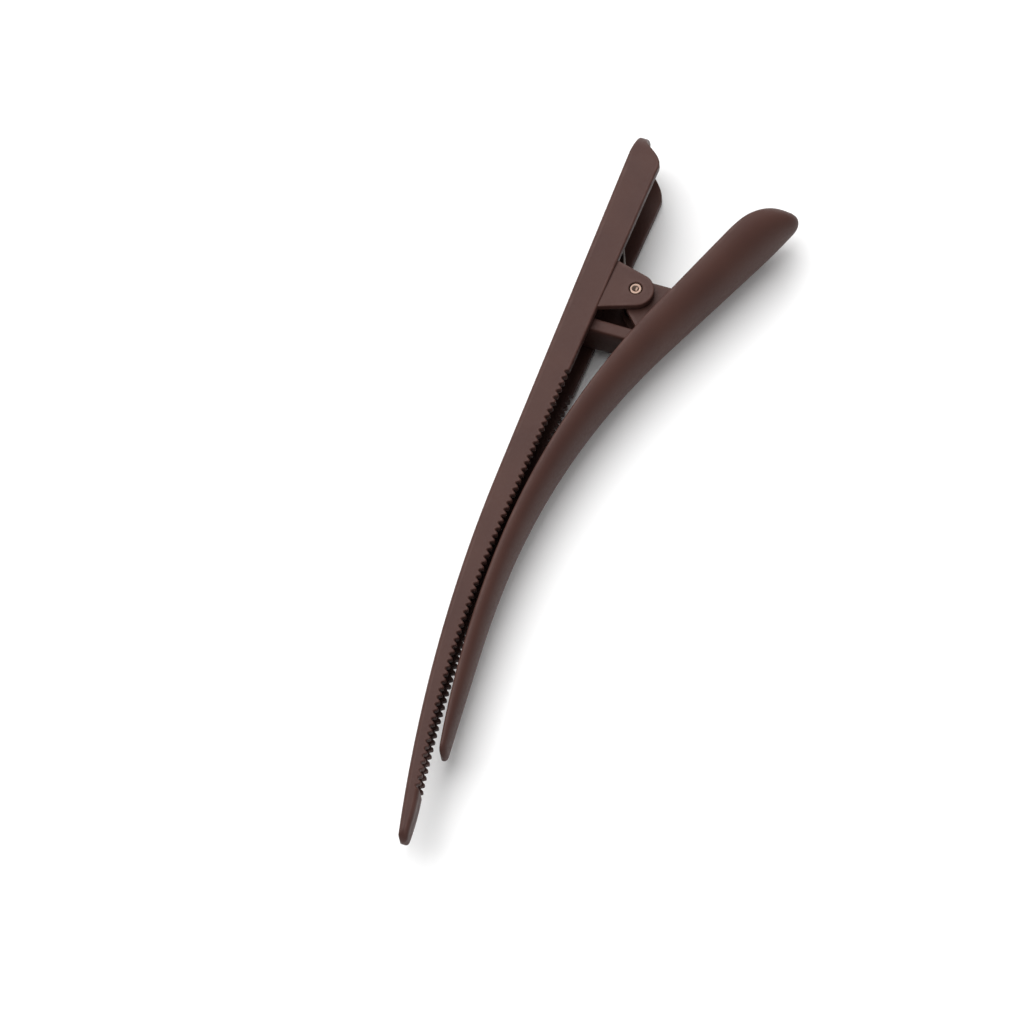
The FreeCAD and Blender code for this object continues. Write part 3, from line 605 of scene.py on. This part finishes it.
class CLIP_OT_short_arm(bpy.types.Operator):
    """Build the short curved arm with its inner ears and hair stop"""
    bl_idname = "clip.short_arm"
    bl_label = "Short arm"

    def execute(self, context):
        sizes, hinge = context.scene.clip_arms, context.scene.clip_hinge
        skins = [short_shell_skin(sizes), stop_skin(sizes, hinge)]
        outline = short_ear_outline(sizes, hinge)
        for side in (1, -1):
            out = side * hinge.short_ear_out
            faces = sorted([out, out - side * hinge.ear_thickness])
            skins.append(plate(outline, hinge.bore_radius + 0.03 * MM, *faces, 0.2 * MM))
        low, _ = short_lines(sizes, np.array([-sizes.short_handle]))
        skins.append(gate_stub(-sizes.short_handle, low[0] + 0.2 * MM))
        build("short_arm_moulding", skins, SHORT_BODY, ["short_arm"],
              moulded_plastic(context.scene))
        return {"FINISHED"}


# ---- Pin and spring ----------------------------------------------------------------------------------

class CLIP_OT_hinge_pin(bpy.types.Operator):
    """Build the pressed-in hinge pin with a chamfer and a dimple at each end"""
    bl_idname = "clip.hinge_pin"
    bl_label = "Hinge pin"

    def execute(self, context):
        hinge = context.scene.clip_hinge
        radius, half = hinge.pin_radius, hinge.pin_half
        end = [(0.06 * MM, half - 0.34 * MM), (0.14 * MM, half - 0.33 * MM), (0.50 * MM, half - 0.04 * MM),
               (0.56 * MM, half), (radius - 0.2 * MM, half), (radius - 0.15 * MM, half - 0.01 * MM),
               (radius - 0.02 * MM, half - 0.13 * MM), (radius, half - 0.17 * MM)]
        middle = [(radius, h) for h in (-0.5 * half, 0.0, 0.5 * half)]
        profile = [(r, -h) for r, h in end] + middle + end[::-1]
        skin = lathe(profile, (0, 0, 0), (0, 0, 1), 64)
        build("hinge_pin_steel", [skin], LONG_BODY, ["hinge_pin"], turned_steel(context.scene))
        return {"FINISHED"}


def spring_route(sizes, hinge):
    """Centre line of the spring: a leg, a helix of radius R and its pitch about the pin, and the other leg.

    Each leg leaves the helix along its tangent. They rest on the long arm's floor and under the crown.
    """
    wire = 0.5 * hinge.wire
    seat = wire + SEAT_GAP
    back = side_line(np.array([LONG_LEG_END]), LONG_BACK)[0]
    long_tip = (LONG_LEG_END, back + sizes.long_floor + seat)
    lift = seat / math.cos(math.radians(SHORT_CROWN[1]))
    crown = side_line(np.array([SHORT_LEG_END]), SHORT_CROWN)[0]
    short_tip = (SHORT_LEG_END, crown - sizes.short_shell - lift - CROWN_GAP)
    start = tangent_angle((0, 0), hinge.coil, long_tip, 1)
    end = tangent_angle((0, 0), hinge.coil, short_tip, -1)
    sweep = FULL_TURNS * 2 * math.pi + (end - start) % (2 * math.pi)
    rise = hinge.pitch * sweep / (2 * math.pi)
    share = np.linspace(0, 1, 240)
    angle = start + sweep * share
    eased = np.clip(share, 0.01, 0.99)
    coil = np.stack([hinge.coil * np.cos(angle), hinge.coil * np.sin(angle), rise * (eased - 0.5)], axis=1)
    low_tip, high_tip = np.array([*long_tip, coil[0, 2]]), np.array([*short_tip, coil[-1, 2]])
    legs = np.linspace(0, 1, 16, endpoint=False)[:, None]
    low_leg = low_tip + (coil[0] - low_tip) * legs
    high_leg = high_tip + (coil[-1] - high_tip) * legs[::-1]
    route = np.vstack([low_leg, coil, high_leg])
    return route, 0.5 * rise - wire


class CLIP_OT_torsion_spring(bpy.types.Operator):
    """Build the torsion spring, which winds between the two arms"""
    bl_idname = "clip.torsion_spring"
    bl_label = "Torsion spring"

    def execute(self, context):
        sizes, hinge = context.scene.clip_arms, context.scene.clip_hinge
        route, reach = spring_route(sizes, hinge)
        along = np.gradient(route, axis=0)
        along /= np.linalg.norm(along, axis=1)[:, None]
        up = np.array([0, 0, 1.0]) - along * along[:, 2:]
        up /= np.linalg.norm(up, axis=1)[:, None]
        side = np.cross(along, up)
        angles = np.linspace(0, 2 * math.pi, 16, endpoint=False)
        ring = up[:, None] * np.cos(angles)[None, :, None] + side[:, None] * np.sin(angles)[None, :, None]
        radius = np.full(len(route), 0.5 * hinge.wire)
        radius[[0, -1]] *= 0.75
        points = route[:, None] + ring * radius[:, None, None]
        piece = build("torsion_spring_wire", [closed_tube(points, np.zeros((len(route), 1)))], None,
                      ["torsion_spring"], spring_steel(context.scene))
        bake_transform(piece)
        return {"FINISHED"}


# ---- Finishes ----------------------------------------------------------------------------------------

def link_chain(tree, *pairs):
    """Link pairs of sockets."""
    for source, target in pairs:
        tree.links.new(source, target)


def surface_group():
    """Node group every surface shares: fine grain, slow mottle and a broken edge mask for wear and painted
    highlight.

    Grain is noise at the scale of a spark-eroded mould. Mottle is slow noise. The edge mask is the piece's
    own edge attribute times a patchy noise, so that worn edges, and the painted highlight on them, break up
    unevenly.
    """
    name = "clip_surface"
    if name in bpy.data.node_groups:
        return bpy.data.node_groups[name]
    tree = bpy.data.node_groups.new(name, "ShaderNodeTree")
    for label, value in (("Grain Scale", 2600.0), ("Mottle Scale", 90.0)):
        socket = tree.interface.new_socket(label, in_out="INPUT", socket_type="NodeSocketFloat")
        socket.default_value = value
    for label in ("Grain", "Mottle", "Rubbed_Highlight_Mask"):
        tree.interface.new_socket(label, in_out="OUTPUT", socket_type="NodeSocketFloat")
    nodes = tree.nodes
    inside, outside = nodes.new("NodeGroupInput"), nodes.new("NodeGroupOutput")
    place = nodes.new("ShaderNodeTexCoord")
    grain, mottle, patch = (nodes.new("ShaderNodeTexNoise") for _ in range(3))
    grain.inputs["Detail"].default_value = 2.5
    mottle.inputs["Detail"].default_value = 3.0
    patch.inputs["Scale"].default_value = 420.0
    patch.inputs["Detail"].default_value = 4.0
    edge = nodes.new("ShaderNodeAttribute")
    edge.attribute_name = "rubbed_highlight"
    spread = nodes.new("ShaderNodeMapRange")
    spread.inputs["From Min"].default_value = 0.35
    spread.inputs["From Max"].default_value = 0.75
    times = nodes.new("ShaderNodeMath")
    times.operation = "MULTIPLY"
    link_chain(tree, *[(place.outputs["Object"], n.inputs["Vector"]) for n in (grain, mottle, patch)],
               (inside.outputs["Grain Scale"], grain.inputs["Scale"]),
               (inside.outputs["Mottle Scale"], mottle.inputs["Scale"]),
               (patch.outputs["Fac"], spread.inputs["Value"]), (spread.outputs["Result"], times.inputs[0]),
               (edge.outputs["Fac"], times.inputs[1]), (grain.outputs["Fac"], outside.inputs["Grain"]),
               (mottle.outputs["Fac"], outside.inputs["Mottle"]),
               (times.outputs[0], outside.inputs["Rubbed_Highlight_Mask"]))
    return tree


def new_finish(name):
    """An empty node material with a Principled shader, the shared surface group and a bump."""
    material = bpy.data.materials.new(name)
    material.use_nodes = True
    tree = material.node_tree
    shader = tree.nodes["Principled BSDF"]
    surface = tree.nodes.new("ShaderNodeGroup")
    surface.node_tree = surface_group()
    bump = tree.nodes.new("ShaderNodeBump")
    link_chain(tree, (bump.outputs["Normal"], shader.inputs["Normal"]))
    return material, tree, shader, surface, bump


def mix_colour(tree, factor, a, b):
    """A colour mix: a and b are colours or sockets, and factor is a socket."""
    mix = tree.nodes.new("ShaderNodeMix")
    mix.data_type = "RGBA"
    for index, value in ((6, a), (7, b)):
        if isinstance(value, bpy.types.NodeSocket):
            tree.links.new(value, mix.inputs[index])
        else:
            mix.inputs[index].default_value = (*value, 1.0)
    tree.links.new(factor, mix.inputs[0])
    return mix.outputs[2]


def ranged(tree, source, low, high, from_low=0.3, from_high=0.7):
    """A value mapped from a texture's usual range to low and high."""
    node = tree.nodes.new("ShaderNodeMapRange")
    for label, value in (("From Min", from_low), ("From Max", from_high), ("To Min", low), ("To Max", high)):
        node.inputs[label].default_value = value
    tree.links.new(source, node.inputs["Value"])
    return node.outputs["Result"]


def moulded_plastic(scene):
    """Satin brown moulded plastic: slow mottle, fine mould grain, smoother worn edges and a paler painted
    highlight.
    """
    name = "brown_moulded_plastic"
    if name in bpy.data.materials:
        return bpy.data.materials[name]
    colours = scene.clip_colours
    material, tree, shader, surface, bump = new_finish(name)
    mottled = mix_colour(tree, ranged(tree, surface.outputs["Mottle"], 0, 1), tuple(colours.plastic_deep),
                         tuple(colours.plastic))
    # Paler brown along the edge mask: edge wear, and a painted highlight where the edges catch the light.
    rubbed_highlight = ranged(tree, surface.outputs["Rubbed_Highlight_Mask"], 0, 0.55, 0, 1)
    edged = mix_colour(tree, rubbed_highlight, mottled, tuple(colours.plastic_rubbed_highlight))
    link_chain(tree, (edged, shader.inputs["Base Color"]))
    grain_rough = ranged(tree, surface.outputs["Grain"], 0.46, 0.56)
    smooth = tree.nodes.new("ShaderNodeMath")
    smooth.operation = "MULTIPLY_ADD"
    smooth.inputs[1].default_value = -0.12
    link_chain(tree, (surface.outputs["Rubbed_Highlight_Mask"], smooth.inputs[0]), (grain_rough, smooth.inputs[2]),
               (smooth.outputs[0], shader.inputs["Roughness"]),
               (surface.outputs["Grain"], bump.inputs["Height"]))
    bump.inputs["Strength"].default_value = 0.35
    bump.inputs["Distance"].default_value = 0.00003
    shader.inputs["Specular IOR Level"].default_value = 0.18
    return material


def turned_steel(scene):
    """Bright drawn pin steel, slightly coppery, with lathe rings on its ends."""
    colours = scene.clip_colours
    material, tree, shader, surface, bump = new_finish("pin_steel_bright")
    place = tree.nodes.new("ShaderNodeTexCoord")
    centre = tree.nodes.new("ShaderNodeMapping")
    centre.inputs["Location"].default_value = tuple(-PIN)
    rings = tree.nodes.new("ShaderNodeTexWave")
    rings.wave_type = "RINGS"
    rings.rings_direction = "Z"
    rings.inputs["Scale"].default_value = 900.0
    rings.inputs["Distortion"].default_value = 1.5
    mottle = ranged(tree, surface.outputs["Mottle"], 0, 1)
    metal = mix_colour(tree, mottle, tuple(c * 0.8 for c in colours.pin_metal), tuple(colours.pin_metal))
    link_chain(tree, (place.outputs["Object"], centre.inputs["Vector"]),
               (centre.outputs["Vector"], rings.inputs["Vector"]),
               (rings.outputs["Fac"], bump.inputs["Height"]),
               (ranged(tree, surface.outputs["Grain"], 0.18, 0.32), shader.inputs["Roughness"]),
               (metal, shader.inputs["Base Color"]))
    bump.inputs["Strength"].default_value = 0.2
    bump.inputs["Distance"].default_value = 0.00001
    shader.inputs["Metallic"].default_value = 1.0
    return material


def spring_steel(scene):
    """Drawn spring wire: grey steel with a patchy oil-dark mottle and a fine drawn grain."""
    colours = scene.clip_colours
    material, tree, shader, surface, bump = new_finish("spring_wire_steel")
    surface.inputs["Grain Scale"].default_value = 5200.0
    surface.inputs["Mottle Scale"].default_value = 600.0
    link_chain(tree, (surface.outputs["Grain"], bump.inputs["Height"]),
               (ranged(tree, surface.outputs["Grain"], 0.24, 0.42), shader.inputs["Roughness"]),
               (mix_colour(tree, ranged(tree, surface.outputs["Mottle"], 0, 1),
                           tuple(c * 0.6 for c in colours.spring_metal), tuple(colours.spring_metal)),
                shader.inputs["Base Color"]))
    bump.inputs["Strength"].default_value = 0.3
    bump.inputs["Distance"].default_value = 0.00001
    shader.inputs["Metallic"].default_value = 1.0
    return material


# ---- Stage -------------------------------------------------------------------------------------------

class ClipStage(bpy.types.PropertyGroup):
    """Camera placement and lens."""
    tilt: bpy.props.FloatProperty(name="Tilt", description="Camera's lean from straight above",
                                  default=math.radians(27.15), subtype="ANGLE")
    turn: bpy.props.FloatProperty(name="Turn", description="Direction that the camera leans towards, from +X",
                                  default=math.radians(27.96), subtype="ANGLE")
    roll: bpy.props.FloatProperty(name="Roll", description="Turn of the camera about its line of sight",
                                  default=math.radians(22.06), subtype="ANGLE")
    distance: length("Distance", "Camera to the middle of the jaw", 600.0)
    lens: bpy.props.FloatProperty(name="Lens", description="Focal length in millimetres", default=141.07)
    aim_x: length("Aim along", "Pin to the point aimed at, along the clip", 39.48)
    aim_y: length("Aim across", "Pin to the point aimed at, across the clip", -5.97)


def aimed_matrix(place, target, up):
    """A camera or lamp matrix: it stands at place and looks at target, with its top towards up."""
    back = (place - target).normalized()
    right = up.cross(back).normalized()
    top = back.cross(right)
    return Matrix.Translation(place) @ Matrix((right, top, back)).transposed().to_4x4()


def soft_lamp(name, place, target, size, power):
    """A square soft box that faces its target."""
    lamp = bpy.data.lights.new(name, "AREA")
    lamp.size, lamp.energy = size, power
    holder = bpy.data.objects.new(name, lamp)
    bpy.context.scene.collection.objects.link(holder)
    holder.matrix_world = aimed_matrix(Vector(place), target, Vector((0, 1, 0.01)))


class CLIP_OT_stage(bpy.types.Operator):
    """Set out the pale floor, the soft light and the camera"""
    bl_idname = "clip.stage"
    bl_label = "Stage"

    def execute(self, context):
        scene, stage = context.scene, context.scene.clip_stage
        target = Vector(PIN) + Vector((stage.aim_x, stage.aim_y, 0))
        lean = -math.sin(stage.tilt)
        sight = Vector((lean * math.cos(stage.turn), lean * math.sin(stage.turn), -math.cos(stage.tilt)))
        down = (Vector((1, 0, 0)) - sight * sight.x).normalized()
        right = down.cross(sight)
        view_down = math.sin(stage.roll) * right + math.cos(stage.roll) * down
        camera = bpy.data.cameras.new("camera")
        camera.lens, camera.sensor_width, camera.clip_start = stage.lens, 36.0, 0.01
        holder = bpy.data.objects.new("camera", camera)
        scene.collection.objects.link(holder)
        holder.matrix_world = aimed_matrix(target - sight * stage.distance, target, -view_down)
        scene.camera = holder

        reach, height = 3.0, CAD_BOX[0][2] - FLOOR_GAP
        corners = [(-reach, -reach), (reach, -reach), (reach, reach), (-reach, reach)]
        mesh = bpy.data.meshes.new("floor")
        mesh.from_pydata([(x, y, height) for x, y in corners], [], [(0, 1, 2, 3)])
        floor = bpy.data.objects.new("floor", mesh)
        scene.collection.objects.link(floor)
        paint = bpy.data.materials.new("pale_floor")
        paint.use_nodes = True
        shader = paint.node_tree.nodes["Principled BSDF"]
        shader.inputs["Base Color"].default_value = (*scene.clip_colours.floor, 1)
        shader.inputs["Roughness"].default_value = 0.9
        mesh.materials.append(paint)

        soft_lamp("overhead_box", (-0.05, -0.30, 0.72), target, 0.9, 7.0)
        soft_lamp("handle_side_box", (-0.55, -0.25, 0.45), target, 0.5, 2.4)
        soft_lamp("jaw_side_box", (0.45, 0.50, 0.35), target, 0.6, 0.6)
        world = bpy.data.worlds.new("studio")
        world.use_nodes = True
        world.node_tree.nodes["Background"].inputs["Color"].default_value = (1, 1, 1, 1)
        world.node_tree.nodes["Background"].inputs["Strength"].default_value = 0.42
        scene.world = world
        scene.view_settings.view_transform = "Standard"
        return {"FINISHED"}


# ---- Add-on ------------------------------------------------------------------------------------------

class CLIP_PT_panel(bpy.types.Panel):
    """The clip's pieces, in the 3D view's sidebar"""
    bl_idname = "CLIP_PT_panel"
    bl_label = "Sectioning clip"
    bl_space_type = "VIEW_3D"
    bl_region_type = "UI"
    bl_category = "Clip"

    def draw(self, context):
        for operator in OPERATORS:
            self.layout.operator(operator.bl_idname)
        for group in GROUPS:
            box = self.layout.box()
            values = getattr(context.scene, group)
            for name in values.__annotations__:
                box.prop(values, name)


GROUPS = {"clip_arms": ClipArmSizes, "clip_hinge": ClipHingeSizes, "clip_colours": ClipColours,
          "clip_stage": ClipStage}
OPERATORS = (CLIP_OT_long_arm, CLIP_OT_short_arm, CLIP_OT_hinge_pin, CLIP_OT_torsion_spring, CLIP_OT_stage)
CLASSES = (*GROUPS.values(), *OPERATORS, CLIP_PT_panel)


def register():
    for item in CLASSES:
        bpy.utils.register_class(item)
    for name, group in GROUPS.items():
        setattr(bpy.types.Scene, name, bpy.props.PointerProperty(type=group))


def unregister():
    for name in GROUPS:
        delattr(bpy.types.Scene, name)
    for item in reversed(CLASSES):
        bpy.utils.unregister_class(item)


def main():
    """Register the add-on and build every piece in order."""
    register()
    bpy.ops.clip.long_arm()
    bpy.ops.clip.short_arm()
    bpy.ops.clip.hinge_pin()
    bpy.ops.clip.torsion_spring()
    bpy.ops.clip.stage()


if __name__ == "__main__":
    main()
